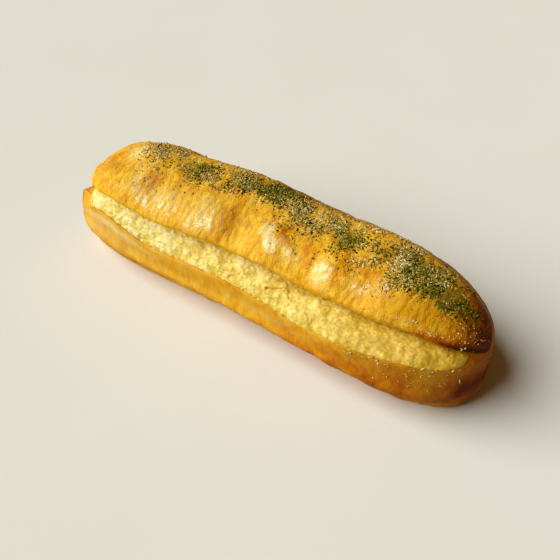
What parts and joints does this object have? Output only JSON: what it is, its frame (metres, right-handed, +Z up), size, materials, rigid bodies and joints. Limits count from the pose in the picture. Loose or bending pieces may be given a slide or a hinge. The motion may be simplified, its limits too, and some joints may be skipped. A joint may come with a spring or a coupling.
{
  "type": "filled bread roll",
  "caption": "Long soft bread roll slit along its front, packed with potato and mayonnaise, its lid strewn with dried herb and grated cheese.",
  "frame": {"origin": "on the underside's plane, below the middle of the bounding box", "axes": "+X along the roll, +Z up, and the slit opens towards -Y"},
  "size_m": [0.176, 0.0629, 0.0493],
  "materials": {
    "crust": "egg-washed golden crust, baked darker at the edges and at the +X end, with green herb flakes and pale cheese on the lid",
    "mash": "soft, finely lumpy pale yellow mash with a slight sheen"
  },
  "bodies": {
    "root": {"bun": "crust", "filling": "mash"}
  },
  "joints": []
}
